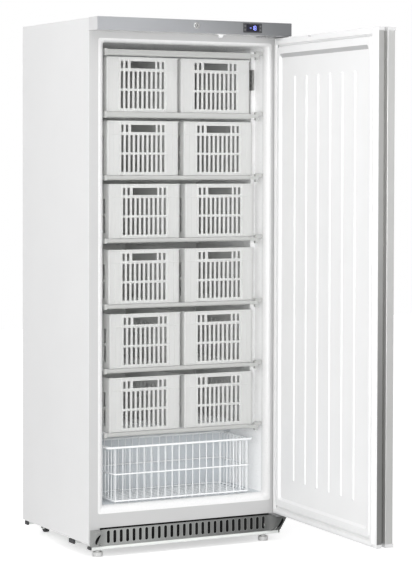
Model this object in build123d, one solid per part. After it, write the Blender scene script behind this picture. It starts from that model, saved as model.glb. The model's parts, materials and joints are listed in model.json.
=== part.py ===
from build123d import *
import math
import os

# Upright static freezer, door open.  Millimetres.  +Z up, +X to the viewer's right, +Y to the back.
# Origin: on the floor, under the middle of the cabinet's width, 258 mm behind the face frame.

# ---------------------------------------------------------------- driving dimensions
WIDTH = 775.0            # cabinet and door width
HX = WIDTH / 2
Y_FRAME = -258.0         # front plane of the cabinet body
Y_BACK = 330.0           # rear sheet
Y_FASCIA = -330.0        # front of the control fascia, and of the closed door
Z_PANEL = 50.0           # lower edge of the side panels
Z_BODY = 1895.0          # top of the cabinet sheet
Z_TOP = 1896.0           # top of the fascia
Z_FASCIA = 1849.5        # lower edge of the fascia
SHEET = 1.0

IN_X = 324.0             # liner half width
IN_Z0, IN_Z1 = 182.0, 1811.0   # liner floor and ceiling
IN_YB = 265.0            # liner back wall
STEP_Y, STEP_Z = 15.0, 410.0   # step over the machine compartment
MOUTH_R, MOUTH_RT = 27.5, 14.5   # rounding of the mouth: left side and bottom, top
MOUTH_RR = 21.5                  # and the hinge side
LINER_T = 2.0
COMP_Y, COMP_Z = 70.0, 355.0   # machine compartment front wall and ceiling

SHELF_Z = [1789.5, 1569.5, 1344.5, 1121.5, 889.0, 661.5, 435.5]   # top of each shelf
TRIM_H = [22.0, 21.0, 16.0, 15.0, 15.5, 15.5, 15.5]               # height of each shelf's front trim
SHELF_YF, SHELF_YB = -243.0, 240.0

BASKET_W, BASKET_H, BASKET_D = 282.0, 193.0, 452.0
BASKET_YF = -235.0
# left side of the two baskets on each shelf, as they were pushed in
BASKET_X = {"left": [-306.5, -304.3, -297.5, -299.0, -294.0, -295.5],
            "right": [-12.75, -1.25, 5.75, 5.0, 2.5, 4.0]}
BASKET_WALL = 2.5
SLOT_W, SLOT_PITCH = 7.8, 17.9
BASKET_GAP = 0.5         # running gap above the shelf

WB_X0, WB_X1 = -306.0, 286.0   # wire basket
WB_Y0, WB_Y1 = -240.0, -8.0
WB_Z0, WB_Z1 = 182.7, 385.0

DOOR_Z0, DOOR_Z1 = 107.0, 1843.0
Y_DOOR_IN = -267.0       # closed door: inner plane
PIVOT = (370.0, -283.0)  # hinge axis
DOOR_REST = 86.3         # how far the door stands open at rest
GRIP_X = -362.0          # closed door: inner limit of the grip profile

GRILLE_Z0, GRILLE_Z1 = 43.0, 100.5
FOOT_X, FOOT_Y = 336.0, -223.0
ROLL_X, ROLL_Y, ROLL_R = 306.0, 300.0, 19.0

LOCK_Z = 1875.5
BOLT_X, BOLT_Y = -8.8, -285.0
CTRL_X, CTRL_Z = 225.0, 1874.0
CATCH_X = 114.0

os.makedirs("parts", exist_ok=True)


# ---------------------------------------------------------------- helpers
def bx(x0, x1, y0, y1, z0, z1):
    return Pos((x0 + x1) / 2, (y0 + y1) / 2, (z0 + z1) / 2) * Box(abs(x1 - x0), abs(y1 - y0), abs(z1 - z0))


def cz(x, y, z0, z1, r):
    return Pos(x, y, (z0 + z1) / 2) * Cylinder(r, abs(z1 - z0))


def cy(x, z, y0, y1, r):
    return Pos(x, (y0 + y1) / 2, z) * Rot(90, 0, 0) * Cylinder(r, abs(y1 - y0))


def cx(y, z, x0, x1, r):
    return Pos((x0 + x1) / 2, y, z) * Rot(0, 90, 0) * Cylinder(r, abs(x1 - x0))


def prism_z(points, z0, z1):
    face = make_face(Polyline(*[(x, y, z0) for x, y in points], close=True))
    return extrude(face, amount=z1 - z0, dir=(0, 0, 1))


def prism_x(points, x0, x1):
    face = make_face(Polyline(*[(x0, y, z) for y, z in points], close=True))
    return extrude(face, amount=x1 - x0, dir=(1, 0, 0))


def prism_y(points, y0, y1):
    face = make_face(Polyline(*[(x, y0, z) for x, z in points], close=True))
    return extrude(face, amount=y1 - y0, dir=(0, 1, 0))


def edges_along(shape, axis, test=None):
    es = shape.edges().filter_by(axis)
    return [e for e in es if test is None or test(e.center())]


def tube(points, radius, r):
    path = FilletPolyline(*points, radius=radius)
    w = path if isinstance(path, Wire) else Wire(path.edges())
    section = Plane(origin=w @ 0, z_dir=w % 0) * Circle(r)
    return sweep(section, path=w)


def solids_of(shape):
    return list(shape.solids())


def save(name, *shapes):
    parts = []
    for s in shapes:
        parts += solids_of(s)
    export_step(parts[0] if len(parts) == 1 else Compound(children=parts), f"parts/{name}.step")
    print(name, len(parts), "solids")


def hinged(shape):
    """A door piece, drawn closed, turned to where the door stands."""
    return Pos(PIVOT[0], PIVOT[1], 0) * Rot(0, 0, DOOR_REST) * Pos(-PIVOT[0], -PIVOT[1], 0) * shape


# ---------------------------------------------------------------- outer sheets
for side, s in (("left", -1), ("right", 1)):
    sheet = bx(s * (HX - SHEET), s * HX, Y_FRAME, Y_BACK, Z_PANEL, Z_BODY - SHEET)
    hem = bx(s * (HX - 14), s * (HX - SHEET), Y_FRAME + 4, Y_BACK, Z_PANEL, Z_PANEL + SHEET)
    save(f"side_panel_{side}", sheet + hem)

top = bx(-HX, HX, Y_FRAME, Y_BACK, Z_BODY - SHEET, Z_BODY)
save("top_panel", top)

rear = bx(-HX + SHEET, HX - SHEET, Y_BACK - SHEET, Y_BACK, COMP_Z, Z_BODY - SHEET)
ceiling = bx(-HX + SHEET, HX - SHEET, COMP_Y, Y_BACK - SHEET, COMP_Z, COMP_Z + SHEET)
bulkhead = bx(-HX + SHEET, HX - SHEET, COMP_Y - SHEET, COMP_Y, Z_PANEL + 1.5, COMP_Z + SHEET)
floor_pan = bx(-HX + SHEET, HX - SHEET, Y_FRAME + SHEET, COMP_Y - SHEET, 106, 107)
save("back_panel", rear, ceiling, bulkhead, floor_pan)

frame = bx(-HX + SHEET, HX - SHEET, Y_FRAME, Y_FRAME + SHEET, Z_PANEL + 1.5, Z_BODY - SHEET)
mouth = bx(-IN_X - MOUTH_R, IN_X + MOUTH_RR, Y_FRAME - 5, Y_FRAME + 5, IN_Z0 - MOUTH_R, IN_Z1 + MOUTH_RT)
mouth = fillet(edges_along(mouth, Axis.Y), 9)
frame = frame - mouth - bx(-345, 345, Y_FRAME - 5, Y_FRAME + 5, 40, 106)
save("front_frame", frame)

# ---------------------------------------------------------------- mouth collar and liner
cavity = fillet(edges_along(bx(-IN_X, IN_X, Y_FRAME - 40, 40, IN_Z0, IN_Z1), Axis.Y), 8)
sections = []
for a in (0, 12, 25, 38, 52, 66, 79, 90):
    open_ = 1 - math.sin(math.radians(a))
    y = Y_FRAME + SHEET + MOUTH_R * (1 - math.cos(math.radians(a)))
    zlo, zhi = IN_Z0 - MOUTH_R * open_, IN_Z1 + MOUTH_RT * open_
    xlo, xhi = -IN_X - MOUTH_R * open_, IN_X + MOUTH_RR * open_
    sketch = Pos((xlo + xhi) / 2, y, (zlo + zhi) / 2) * Rot(90, 0, 0) * RectangleRounded(xhi - xlo, zhi - zlo, 8)
    sections.append(sketch.faces()[0])
flare = loft(sections)
COLLAR_X, COLLAR_Z0, COLLAR_Z1 = IN_X + 32, IN_Z0 - 32, IN_Z1 + 19
collar = bx(-COLLAR_X, COLLAR_X, Y_FRAME + SHEET, Y_FRAME + 29, COLLAR_Z0, COLLAR_Z1) - cavity - flare
save("mouth_collar", collar)

YL = Y_FRAME + 29        # where the liner starts behind the collar
outer = prism_x([(YL, IN_Z0 - LINER_T), (STEP_Y + LINER_T, IN_Z0 - LINER_T), (STEP_Y + LINER_T, STEP_Z - LINER_T),
                 (IN_YB + LINER_T, STEP_Z - LINER_T), (IN_YB + LINER_T, IN_Z1 + LINER_T), (YL, IN_Z1 + LINER_T)],
                -IN_X - LINER_T, IN_X + LINER_T)
inner = prism_x([(YL - 40, IN_Z0), (STEP_Y, IN_Z0), (STEP_Y, STEP_Z), (IN_YB, STEP_Z), (IN_YB, IN_Z1), (YL - 40, IN_Z1)],
                -IN_X, IN_X)
inner = fillet(edges_along(inner, Axis.Y), 8)
save("inner_liner", outer - inner)

FX = HX - SHEET
LX = IN_X + LINER_T
CXO = IN_X + 32
foam = []
for s in (-1, 1):
    foam.append(bx(s * LX, s * FX, YL, COMP_Y - SHEET, 107, Z_BODY - SHEET))
    foam.append(bx(s * LX, s * FX, COMP_Y - SHEET, Y_BACK - SHEET, COMP_Z + SHEET, Z_BODY - SHEET))
    foam.append(bx(s * CXO, s * FX, Y_FRAME + SHEET, YL, 107, Z_BODY - SHEET))
foam.append(bx(-LX, LX, YL, Y_BACK - SHEET, IN_Z1 + LINER_T, Z_BODY - SHEET))
foam.append(bx(-LX, LX, IN_YB + LINER_T, Y_BACK - SHEET, COMP_Z + SHEET, IN_Z1 + LINER_T))
foam.append(bx(-LX, LX, YL, COMP_Y - SHEET, 107, IN_Z0 - LINER_T))
foam.append(bx(-LX, LX, STEP_Y + LINER_T, COMP_Y - SHEET, IN_Z0 - LINER_T, STEP_Z - LINER_T))
foam.append(bx(-LX, LX, COMP_Y - SHEET, IN_YB + LINER_T, COMP_Z + SHEET, STEP_Z - LINER_T))
foam.append(bx(-CXO, CXO, Y_FRAME + SHEET, YL, COLLAR_Z1, Z_BODY - SHEET))
foam.append(bx(-CXO, CXO, Y_FRAME + SHEET, YL, 107, IN_Z0 - 32))
save("cabinet_insulation", *foam)

# ---------------------------------------------------------------- base
rail = bx(-377.5, 377.5, -264, -236, 30, 42)
rail = fillet([e for e in edges_along(rail, Axis.X) if e.center().Y < -260], 2.5)
legs = []
for s in (-1, 1):
    legs.append(bx(s * 300, s * 332, -236, 318, 30, 46))
    post = bx(s * 346, s * 373, -256.5, -236, 42, 100)
    legs.append(post)
    # roller forks
    legs.append(bx(s * (ROLL_X - 15), s * (ROLL_X - 12), ROLL_Y - 14, ROLL_Y + 14, 14, 30))
    legs.append(bx(s * (ROLL_X + 12), s * (ROLL_X + 15), ROLL_Y - 14, ROLL_Y + 14, 14, 30))
cross1 = bx(-300, 300, 76, 100, 30, 46)
cross2 = bx(-300, 300, 296, 318, 30, 46)
tray = bx(-372, 372, COMP_Y + 4, 322, 46, 48)
base = rail
for p in legs + [cross1, cross2, tray]:
    base = base + p
for s in (-1, 1):
    base = base - bx(s * (ROLL_X - 11), s * (ROLL_X + 11), ROLL_Y - 21.5, ROLL_Y + 21.5, 25, 40)
    base = base - cx(ROLL_Y, ROLL_R, s * (ROLL_X - 20), s * (ROLL_X + 20), 4.0)
    base = base - cz(s * FOOT_X, FOOT_Y, 20, 60, 5.05)
    boss = bx(s * (FOOT_X - 18), s * (FOOT_X + 18), -236, FOOT_Y + 18, 36, 42) - cz(s * FOOT_X, FOOT_Y, 20, 60, 5.05)
    base = base + boss
    # outriggers to the side panels, which the plugs close
    base = base + bx(s * 331, s * 376, -118, -84, 32, 44) + bx(s * 331, s * 376, 298, 317, 34, 46)
save("base_frame", base)
plugs = []
for s in (-1, 1):
    for y0, y1, z0, z1, x0 in ((-263, -239, 31, 41.5, 377.5), (-121, -81, 30.5, 45.5, 376), (296, 319, 32.5, 47, 376)):
        plug = bx(s * x0, s * 384.5, y0, y1, z0, z1)
        outer = [e for e in plug.edges() if abs(e.center().X) > 384]
        plugs.append(fillet(outer, 2.5))
save("side_plugs", *plugs)

for side, s in (("left", -1), ("right", 1)):
    puck = fillet(cz(s * FOOT_X, FOOT_Y, 0, 17, 18).edges().group_by(Axis.Z)[0], 2.5)
    puck = fillet(puck.edges().group_by(Axis.Z)[-1], 2.0)
    neck = cz(s * FOOT_X, FOOT_Y, 17, 26, 8.5) + cz(s * FOOT_X, FOOT_Y, 26, 52, 5.0)
    hexnut = Pos(s * FOOT_X, FOOT_Y, 22) * extrude(RegularPolygon(12, 6), 6)
    save(f"foot_{side}", puck + neck + hexnut)
    wheel = cx(ROLL_Y, ROLL_R, s * ROLL_X - 9, s * ROLL_X + 9, ROLL_R)
    wheel = fillet(wheel.edges(), 2.0)
    axle = cx(ROLL_Y, ROLL_R, s * ROLL_X - 17, s * ROLL_X + 17, 3.95)
    save(f"roller_{side}", wheel + axle)

# ---------------------------------------------------------------- kick grille
t = 2.5


def arc_points(center, r, a0, a1, n):
    return [(center[0] + r * math.cos(math.radians(a0 + (a1 - a0) * i / n)),
             center[1] + r * math.sin(math.radians(a0 + (a1 - a0) * i / n))) for i in range(n + 1)]


right_front = arc_points((322.0, -303.5), 39.0, 90, 0, 8) + [(361.0, -322.5), (381.0, -322.5), (381.0, -258.5)]
right_back = [(378.5, -258.5), (378.5, -320.0), (363.5, -320.0)] + arc_points((322.0, -303.5), 41.5, 0, 90, 8)
left_front = [(-x, y) for x, y in reversed(right_front)]
left_back = [(-x, y) for x, y in reversed(right_back)]
wall = prism_z(right_front + right_back + left_back + left_front, GRILLE_Z0, GRILLE_Z1)
# everything in front of the slanted plane goes
slope = (322.5 - 275.0) / (100.5 - 47.0)


def y_slant(z, off=0.0):
    return -322.5 + (100.5 - z) * slope + off


cutter = prism_x([(-340, 101), (y_slant(101), 101), (y_slant(40), 40), (-340, 40)], -400, 400)
wall = wall - cutter
for s in (-1, 1):
    face = prism_x([(y_slant(GRILLE_Z1), GRILLE_Z1), (y_slant(GRILLE_Z1, 3), GRILLE_Z1),
                    (y_slant(GRILLE_Z0, 3), GRILLE_Z0), (y_slant(GRILLE_Z0), GRILLE_Z0)], s * 361.5, s * 380.5)
    # half-moon hole, flat side inwards
    zc, hz = 73.0, 21.0
    pts = [(s * 364.2, zc - hz), (s * 364.2, zc + hz)]
    pts += [(s * (364.2 + 13.0 * math.sin(math.radians(a))), zc + hz * math.cos(math.radians(a))) for a in range(20, 180, 20)]
    hole = prism_y(pts, -340, -258)
    face = face - hole
    cap = prism_z([(s * x, y) for x, y in ((363.0, -300.0), (363.0, -320.0), (379.0, -320.0), (379.0, -262.5), (353.0, -262.5), (355.0, -277.0))],
                  GRILLE_Z1 - 2.5, GRILLE_Z1) - cutter
    wall = wall + face + cap
n_slots = 26
pitch = 627.0 / (n_slots - 1)
for i in range(n_slots):
    x = -313.5 + pitch * i
    slot = bx(x - 6, x + 6, -270, -255, 57.5, 90.5) + cy(x, 57.5, -270, -255, 6) + cy(x, 90.5, -270, -255, 6)
    wall = wall - slot
save("kick_grille", wall)

# ---------------------------------------------------------------- fascia and controls
housing = bx(-HX, HX, Y_FASCIA + 2, Y_FRAME, Z_FASCIA, Z_TOP)
housing = housing - bx(-HX + 2, HX - 2, Y_FASCIA + 4, Y_FRAME + 1, Z_FASCIA + 2, Z_TOP - 2)
fascia = bx(-HX, HX, Y_FASCIA, Y_FASCIA + 2, Z_FASCIA, Z_TOP)
fascia = fillet([e for e in edges_along(fascia, Axis.X) if e.center().Y < Y_FASCIA + 0.5], 1.6)
openings = [bx(CTRL_X - 35.5, CTRL_X + 35.5, -340, -320, CTRL_Z - 14.5, CTRL_Z + 14.5), cy(0, LOCK_Z, -340, -320, 9.5)]
for o in openings:
    housing = housing - o
    fascia = fascia - o
housing = housing - cz(BOLT_X, BOLT_Y, Z_FASCIA - 1, Z_FASCIA + 3, 4.3)
save("control_housing", housing)
save("control_fascia", fascia)

bezel = bx(CTRL_X - 38, CTRL_X + 38, -332.5, Y_FASCIA, CTRL_Z - 17, CTRL_Z + 17)
bezel = fillet(edges_along(bezel, Axis.Y), 2.0)
ctrl = bezel + bx(CTRL_X - 35, CTRL_X + 35, Y_FASCIA, -275, CTRL_Z - 14, CTRL_Z + 14)
ctrl = ctrl - bx(CTRL_X - 26, CTRL_X + 26, -335, -330.5, CTRL_Z - 13, CTRL_Z + 13)
KEYS = {"key_set": (-31.5, 6.5), "key_up": (31.5, 6.5), "key_power": (-31.5, -6.5), "key_down": (31.5, -6.5)}
for name, (dx, dz) in KEYS.items():
    ctrl = ctrl - bx(CTRL_X + dx - 3.3, CTRL_X + dx + 3.3, -335, -327, CTRL_Z + dz - 2.8, CTRL_Z + dz + 2.8)
save("controller_body", ctrl)
save("display_window", bx(CTRL_X - 26, CTRL_X + 26, -331.7, -330.5, CTRL_Z - 13, CTRL_Z + 13))
for name, (dx, dz) in KEYS.items():
    key = bx(CTRL_X + dx - 3.0, CTRL_X + dx + 3.0, -333.1, -328.4, CTRL_Z + dz - 2.5, CTRL_Z + dz + 2.5)
    key = fillet(key.faces().sort_by(Axis.Y)[0].edges(), 0.5)
    save(name, key)

barrel = cy(0, LOCK_Z, -332.5, Y_FASCIA, 12) + cy(0, LOCK_Z, Y_FASCIA, -296, 9.4) + cy(0, LOCK_Z, Y_FASCIA + 4, Y_FASCIA + 7, 13)
barrel = barrel - cy(0, LOCK_Z, -340, -290, 6.55)
barrel = chamfer([e for e in barrel.edges().filter_by(GeomType.CIRCLE) if e.center().Y < -332 and e.radius > 11], 1.0)
save("lock_barrel", barrel)
plug = cy(0, LOCK_Z, -332.2, -295.6, 6.5) + cy(0, LOCK_Z, -295.6, -293.0, 8.5) + bx(-8.5, 0, -293.0, -291.0, LOCK_Z - 2.5, LOCK_Z + 2.5)
plug = plug - bx(-0.8, 0.8, -333, -322, LOCK_Z - 3.6, LOCK_Z + 3.6)
save("lock_cylinder", plug)
bolt = cz(BOLT_X, BOLT_Y, Z_FASCIA + 0.3, LOCK_Z + 10, 4.0)
save("lock_bolt", bolt)

catch = bx(CATCH_X - 18, CATCH_X + 18, -302, -288, Z_FASCIA - 2, Z_FASCIA)
wedge = prism_y([(CATCH_X - 9.5, Z_FASCIA - 2), (CATCH_X - 4.5, 1838.0), (CATCH_X + 4.5, 1838.0), (CATCH_X + 9.5, Z_FASCIA - 2)], -299, -291)
save("door_catch", catch + wedge)

# ---------------------------------------------------------------- hinges
PX, PY = PIVOT
tplate = bx(281, 384, -326, Y_FRAME, 1846.0, Z_FASCIA)
tplate = chamfer([e for e in edges_along(tplate, Axis.Z) if e.center().Y < -300 and e.center().X > 300], 10)
save("hinge_bracket_top", tplate + cz(PX, PY, 1828.0, 1847.0, 5.0))
bplate = bx(338, 385.5, -318, Y_FRAME, 101.5, 105.0)
bplate = chamfer([e for e in edges_along(bplate, Axis.Z) if e.center().Y < -300 and e.center().X > 350], 8)
bleg = bx(346, 377, -261, -258, 55, 101.5)
save("hinge_bracket_bottom", bplate + bleg + cz(PX, PY, 104, 124.0, 5.0))
screws = []
for x, z in ((354, 90), (369, 90), (354, 66), (369, 66)):
    screws.append(cy(x, z, -263.5, -261, 4.5) - bx(x - 3, x + 3, -264, -262.6, z - 0.6, z + 0.6))
for x, y in ((296, -276), (326, -276), (296, -308)):
    screws.append(cz(x, y, 1843.8, 1846.0, 4.5) - bx(x - 3, x + 3, y - 0.6, y + 0.6, 1843, 1844.6))
save("hinge_screws", *screws)

# ---------------------------------------------------------------- door (drawn closed, then turned)
GX = GRIP_X
skin = bx(GX, HX, Y_FASCIA, Y_FASCIA + SHEET, DOOR_Z0 + 8, DOOR_Z1 - 8) \
    + bx(HX - SHEET, HX, Y_FASCIA, Y_DOOR_IN - 2.2, DOOR_Z0 + 8, DOOR_Z1 - 8)
skin = fillet([e for e in edges_along(skin, Axis.Z) if e.center().X > HX - 0.1 and e.center().Y < Y_FASCIA + 0.1], 0.9)
save("door_skin", hinged(skin))

# liner: flat rim, low raised frame with a flat crest, recessed panel with sloping walls and six ribs
rim = bx(-HX, HX, Y_DOOR_IN - 2.2, Y_DOOR_IN, DOOR_Z0, DOOR_Z1)


def door_step(y, x, z0, z1, r):
    sketch = Pos(0, y, (z0 + z1) / 2) * Rot(90, 0, 0) * RectangleRounded(2 * x, z1 - z0, r)
    return sketch.faces()[0]


CREST = 8.0
raised = loft([door_step(Y_DOOR_IN, 355.0, 134.5, 1815.5, 20), door_step(Y_DOOR_IN + CREST, 349.5, 140.0, 1810.0, 16)])
recess = loft([door_step(Y_DOOR_IN + 0.6, 325.5, 172.0, 1771.5, 10), door_step(Y_DOOR_IN + CREST, 334.0, 163.0, 1785.5, 15)]) \
    + extrude(door_step(Y_DOOR_IN + CREST - 0.01, 334.0, 163.0, 1785.5, 15), amount=4, dir=(0, 1, 0))
liner = rim + raised - recess
for k in (-2.5, -1.5, -0.5, 0.5, 1.5, 2.5):
    rib = bx(k * 90 - 8, k * 90 + 8, Y_DOOR_IN + 0.5, Y_DOOR_IN + 3.6, 246, 1702)
    rib = chamfer([e for e in rib.edges() if abs(e.center().Y - (Y_DOOR_IN + 3.6)) < 0.01], 2.6)
    liner = liner + rib
# notch for the catch and hole for the bolt are in the cap; the liner's rim gives way to the catch
liner = liner - bx(CATCH_X - 13, CATCH_X + 13, Y_DOOR_IN - 5, Y_DOOR_IN + 5, DOOR_Z1 - 9, DOOR_Z1 + 1)
save("door_liner", hinged(liner))

foam_d = bx(GX, HX - SHEET, Y_FASCIA + SHEET, Y_DOOR_IN - 2.2, DOOR_Z0 + 22, DOOR_Z1 - 22)
save("door_insulation", hinged(foam_d))

# grip profile: outer band, finger groove, inner band
HZ0, HZ1 = DOOR_Z0 + 12.5, DOOR_Z1 - 12.5
outer_band = bx(-HX, GX, Y_FASCIA, -302, HZ0, HZ1)
outer_band = fillet([e for e in edges_along(outer_band, Axis.Z) if e.center().X < -HX + 0.1], 1.5)
web = bx(-HX + 19, GX, -302, -288, HZ0, HZ1)
inner_band = bx(-HX, GX, -288, Y_DOOR_IN - 2.2, HZ0, HZ1)
save("handle_profile", hinged(outer_band), hinged(web), hinged(inner_band))

caps = []


def cap_block(x0, x1, y0, y1, z0, z1):
    """One block of a cap; the lip under or over it is set in by the sheet's thickness."""
    if z0 < 900:
        return bx(x0, x1, y0, y1, z0, z0 + 8) + bx(x0, min(x1, HX - SHEET), max(y0, Y_FASCIA + SHEET), y1, z0 + 8, z1)
    return bx(x0, x1, y0, y1, z1 - 8, z1) + bx(x0, min(x1, HX - SHEET), max(y0, Y_FASCIA + SHEET), y1, z0, z1 - 8)


Y_CAP = Y_DOOR_IN - 2.2
BH = 6.0                 # half width of the square hole that takes the lock bolt
z0, z1 = DOOR_Z0, DOOR_Z0 + 22
caps.append(cap_block(GX, HX, Y_FASCIA, Y_CAP, z0, z1) - cz(PX, PY, z0 - 30, z0 + 40, 8.0))
z0, z1 = DOOR_Z1 - 22, DOOR_Z1
caps.append(cap_block(GX, BOLT_X - BH, Y_FASCIA, Y_CAP, z0, z1))
caps.append(cap_block(BOLT_X - BH, BOLT_X + BH, Y_FASCIA, BOLT_Y - BH, z0, z1))
caps.append(cap_block(BOLT_X - BH, BOLT_X + BH, BOLT_Y + BH, Y_CAP, z0, z1))
caps.append(cap_block(BOLT_X + BH, CATCH_X - 13, Y_FASCIA, Y_CAP, z0, z1))
caps.append(cap_block(CATCH_X - 13, CATCH_X + 13, Y_FASCIA, -312, z0, z1))
caps.append(bx(CATCH_X - 13, CATCH_X + 13, -312, Y_CAP, z0, DOOR_Z1 - 9))
caps.append(cap_block(CATCH_X + 13, HX, Y_FASCIA, Y_CAP, z0, z1) - cz(PX, PY, z0 - 30, z0 + 40, 8.0))
for lo, hi in ((DOOR_Z0, HZ0), (HZ1, DOOR_Z1)):
    # the cap's end of the grip, with the finger groove running out through it
    caps += [bx(-HX - 1.0, GX, Y_FASCIA - 2.5, -302, lo, hi), bx(-HX + 19, GX, -302, -288, lo, hi), bx(-HX, GX, -288, Y_CAP, lo, hi)]
save("door_end_caps", *[hinged(c) for c in caps])
bush_b = cz(PX, PY, DOOR_Z0, DOOR_Z0 + 22, 8.0) + cz(PX, PY, DOOR_Z0 - 1.5, DOOR_Z0, 9.5) - cz(PX, PY, 90, 140, 5.05)
bush_t = cz(PX, PY, DOOR_Z1 - 22, DOOR_Z1, 8.0) + cz(PX, PY, DOOR_Z1, DOOR_Z1 + 1.5, 9.5) - cz(PX, PY, 1800, 1860, 5.05)
save("hinge_bushes", hinged(bush_b), hinged(bush_t))


def ring(x0, x1, z0, z1, w, y0, y1, r):
    o = fillet(edges_along(bx(x0, x1, y0, y1, z0, z1), Axis.Y), r)
    i = fillet(edges_along(bx(x0 + w, x1 - w, y0 - 1, y1 + 1, z0 + w, z1 - w), Axis.Y), max(r - w, 1.0))
    return o - i


gasket = ring(-373.0, 373.0, 114.5, 1835, 16, Y_DOOR_IN, Y_DOOR_IN + 2.4, 8) \
    + ring(-370.0, 370.0, 117.5, 1832, 9, Y_DOOR_IN + 2.4, Y_DOOR_IN + 5.2, 6) \
    + ring(-371.5, 371.5, 116, 1833.5, 13, Y_DOOR_IN + 5.2, Y_DOOR_IN + 8.6, 8)
save("door_gasket", hinged(gasket))

# ---------------------------------------------------------------- refrigerated shelves
E_X0, E_X1 = -312.0, 300.0
pts = []
rows_y = [-214.0 + 58.0 * i for i in range(8)]
for i, y in enumerate(rows_y):
    xs = (E_X0, E_X1) if i % 2 == 0 else (E_X1, E_X0)
    pts += [(xs[0], y, 0.0), (xs[1], y, 0.0)]
serp = tube(pts, 28.9, 4.0)
wires = [cy(E_X0 + 24 + 51.0 * i, 3.9, -229.0, 238.0, 1.6) for i in range(12)]
shelf = serp.fuse(*wires)
shelf = shelf.solids()[0] if hasattr(shelf, "solids") else shelf
top_of_wires = 3.9 + 1.6
save("evaporator_shelves", *[Pos(0, 0, z - top_of_wires) * shelf for z in SHELF_Z])

strips = []
for z, h in zip(SHELF_Z, TRIM_H):
    strip = bx(-308.3, 267, SHELF_YF, -234.5, z - h, z)
    strip = fillet([e for e in edges_along(strip, Axis.X) if e.center().Y < -242 and e.center().Z > z - 1], 2.0)
    strip = fillet([e for e in edges_along(strip, Axis.X) if e.center().Y < -242 and e.center().Z < z - h + 1], 7.5)
    lcap = bx(-319, -308.3, SHELF_YF - 1.5, -233, z - h - 1, z + 2.5)
    lcap = fillet(lcap.faces().sort_by(Axis.Y)[0].edges(), 1.5)
    # right-hand end: a stepped clip block that reaches to the wall
    rcap = bx(267, 301, SHELF_YF - 1.0, -230, z - 15, z - 3) + bx(296, 318, SHELF_YF + 2, -226, z - 7, z + 7) \
        + bx(289.5, 297, SHELF_YF, -228, z - 5, z + 5) + bx(290, 300, SHELF_YF + 1, -230, z - 24, z - 12)
    strips.append(strip + lcap + rcap)
save("shelf_trim_strips", *strips)

cover = bx(306, IN_X, -176, -118, 430, IN_Z1 - 12)
cover = fillet([e for e in edges_along(cover, Axis.Z) if e.center().X < 307], 5)
save("pipe_cover", cover)
probe = bx(298.5, 306, -200, -156, 1656, 1731)
for i in range(7):
    probe = probe - bx(297, 301.0, -196, -160, 1662 + i * 10, 1667 + i * 10)
save("probe_cover", probe)


# ---------------------------------------------------------------- baskets
def basket():
    w, h, d, tk = BASKET_W, BASKET_H, BASKET_D, BASKET_WALL
    body = bx(0, w, 1.5, d, 0, h)
    body = fillet(edges_along(body, Axis.Z), 7)
    inside = fillet(edges_along(bx(tk, w - tk, 1.5 + tk, d - tk, tk, h + 5), Axis.Z), 5)
    body = body - inside
    # raised fields on the front: centre panel over the full height, and the top band
    field = bx(46, 236, 0, 2.5, 0.8, h)
    band = bx(5, w - 5, 0.7, 2.5, h - 46, h)
    lip = bx(5, w - 5, 0.0, 2.5, h - 4.5, h)
    body = body + field + band + lip
    # slots
    x0 = 54.55
    holes = []
    for c in range(10):
        x = x0 + SLOT_PITCH * c
        holes.append(bx(x, x + SLOT_W, -5, 9, 13, 73))
        holes.append(bx(x, x + SLOT_W, -5, 9, 82.5, 142))
        if c in (0, 1, 8, 9):
            holes.append(bx(x, x + SLOT_W, -5, 9, 153.5, 179))
    holes.append(bx(92.0, 189.0, -5, 9, 153.5, 179))
    # back wall: the same grip hole and two rows of wide slots
    for c in range(7):
        x = 36 + 31.0 * c
        holes.append(bx(x, x + 18, d - 9, d + 5, 20, 78))
        holes.append(bx(x, x + 18, d - 9, d + 5, 88, 140))
    holes.append(bx(92, 190, d - 9, d + 5, 153.5, 179))
    # side walls
    for c in range(12):
        y = 34 + 33.0 * c
        holes.append(bx(-5, w + 5, y, y + 20, 20, 78))
        holes.append(bx(-5, w + 5, y, y + 20, 88, 140))
    for s in holes:
        body = body - s
    return body


one = basket()
for i, z in enumerate(SHELF_Z[1:], start=1):
    for side, xs in BASKET_X.items():
        save(f"basket_{i}_{side}", Pos(xs[i - 1], BASKET_YF, z + BASKET_GAP) * one)

# wire basket: thick rails outside, thin upright and floor wires welded to their inner side;
# the rim stands out beyond the body on both sides and the side wires reach out to it
R_TOP, R_MID, R_W = 4.0, 2.8, 1.7
BODY_X0, BODY_X1 = -277.0, 272.0
YF_IN, YB_IN = WB_Y0 + 2 * R_TOP, WB_Y1 - 2 * R_TOP
XL_IN, XR_IN = BODY_X0 + 2 * R_MID, BODY_X1 - 2 * R_MID
Z_RIM = WB_Z1 - R_TOP
rods = [cx(YF_IN - R_TOP, Z_RIM, WB_X0 + 2 * R_TOP, WB_X1 - 2 * R_TOP, R_TOP), cx(YB_IN + R_TOP, Z_RIM, WB_X0 + 2 * R_TOP, WB_X1 - 2 * R_TOP, R_TOP),
        cy(WB_X0 + R_TOP, Z_RIM, WB_Y0, WB_Y1, R_TOP), cy(WB_X1 - R_TOP, Z_RIM, WB_Y0, WB_Y1, R_TOP)]
for z in (286.0, WB_Z0 + 9.0):
    rods += [cx(YF_IN - R_MID, z, XL_IN, XR_IN, R_MID), cx(YB_IN + R_MID, z, XL_IN, XR_IN, R_MID)]
    rods += [cy(XL_IN - R_MID, z, YF_IN - 2 * R_MID, YB_IN + 2 * R_MID, R_MID), cy(XR_IN + R_MID, z, YF_IN - 2 * R_MID, YB_IN + 2 * R_MID, R_MID)]
nx, nyy = 20, 9
xs = [-268.5 + 28.0 * i for i in range(nx)]
ys = [WB_Y0 + 20 + (WB_Y1 - WB_Y0 - 40) * i / (nyy - 1) for i in range(nyy)]
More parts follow.
